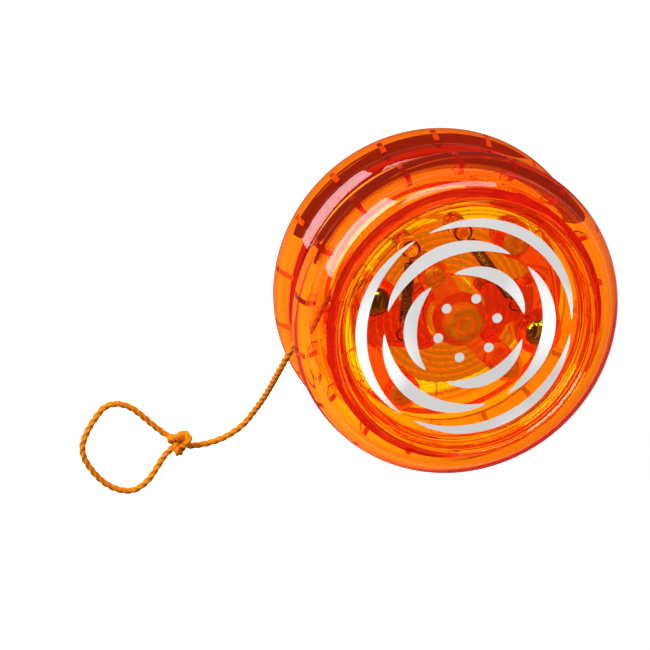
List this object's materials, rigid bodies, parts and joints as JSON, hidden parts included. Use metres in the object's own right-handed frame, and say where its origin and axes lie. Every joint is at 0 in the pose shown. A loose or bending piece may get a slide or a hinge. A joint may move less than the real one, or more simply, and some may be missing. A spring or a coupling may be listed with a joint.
{
  "type": "yo-yo",
  "caption": "Translucent auto-return yo-yo with rounded hollow halves, domed caps, a free-turning string drum, a ball-weighted clutch and a finger string.",
  "frame": {"origin": "centre of the rear rim's crest, where the yo-yo lies on its rear face", "axes": "+Z along the axle from the rear cap to the front cap; +X to the ball of clutch arm A's side; the string leaves the gap towards -X and -Y"},
  "size_m": [0.0909, 0.0657, 0.0304],
  "materials": {
    "shell_plastic": "clear fluorescent orange, polished",
    "cap_plastic": "clear yellow-orange, polished",
    "clutch_plastic": "clear orange, moulded",
    "drum_nylon": "moulded, satin",
    "steel": "bright plated steel",
    "spring_steel": "oiled spring wire",
    "cotton": "twisted cotton string"
  },
  "bodies": {
    "housing": {"front_rim_shell": "shell_plastic", "rear_rim_shell": "shell_plastic", "front_side_plate": "shell_plastic", "rear_side_plate": "shell_plastic", "front_cap": "cap_plastic", "rear_cap": "cap_plastic", "clutch_bridge": "clutch_plastic", "axle_bolt": "steel", "axle_nut": "steel", "nut_washer": "steel", "bearing_sleeve": "steel", "rear_thrust_washer": "steel", "front_thrust_washer": "steel", "pivot_screw_a": "steel", "pivot_screw_b": "steel", "bridge_screw_a": "steel", "bridge_screw_b": "steel", "clutch_spring_a": "spring_steel", "clutch_spring_b": "spring_steel"},
    "drum": {"string_drum": "drum_nylon", "string_winding": "cotton", "string_lead": "cotton", "finger_knot": "cotton", "finger_loop": "cotton"},
    "arm_a": {"clutch_arm_a": "clutch_plastic", "weight_ball_a": "steel"},
    "arm_b": {"clutch_arm_b": "clutch_plastic", "weight_ball_b": "steel"}
  },
  "joints": [
    {"name": "drum_spin", "type": "hinge", "parent": "housing", "child": "drum", "pos_m": [0, 0, 0.0152], "axis": [0, 0, 1], "continuous": true},
    {"name": "arm_a_pivot", "type": "hinge", "parent": "housing", "child": "arm_a", "pos_m": [0.0098, 0.0127, 0.0212], "axis": [0, 0, 1], "range_deg": [0, 5], "stiffness_Nm_per_rad": 0.007, "springref_deg": -11.46, "deforming": ["clutch_spring_a"]},
    {"name": "arm_b_pivot", "type": "hinge", "parent": "housing", "child": "arm_b", "pos_m": [-0.0098, -0.0127, 0.0212], "axis": [0, 0, 1], "range_deg": [0, 5], "stiffness_Nm_per_rad": 0.007, "springref_deg": -11.46, "deforming": ["clutch_spring_b"]}
  ]
}
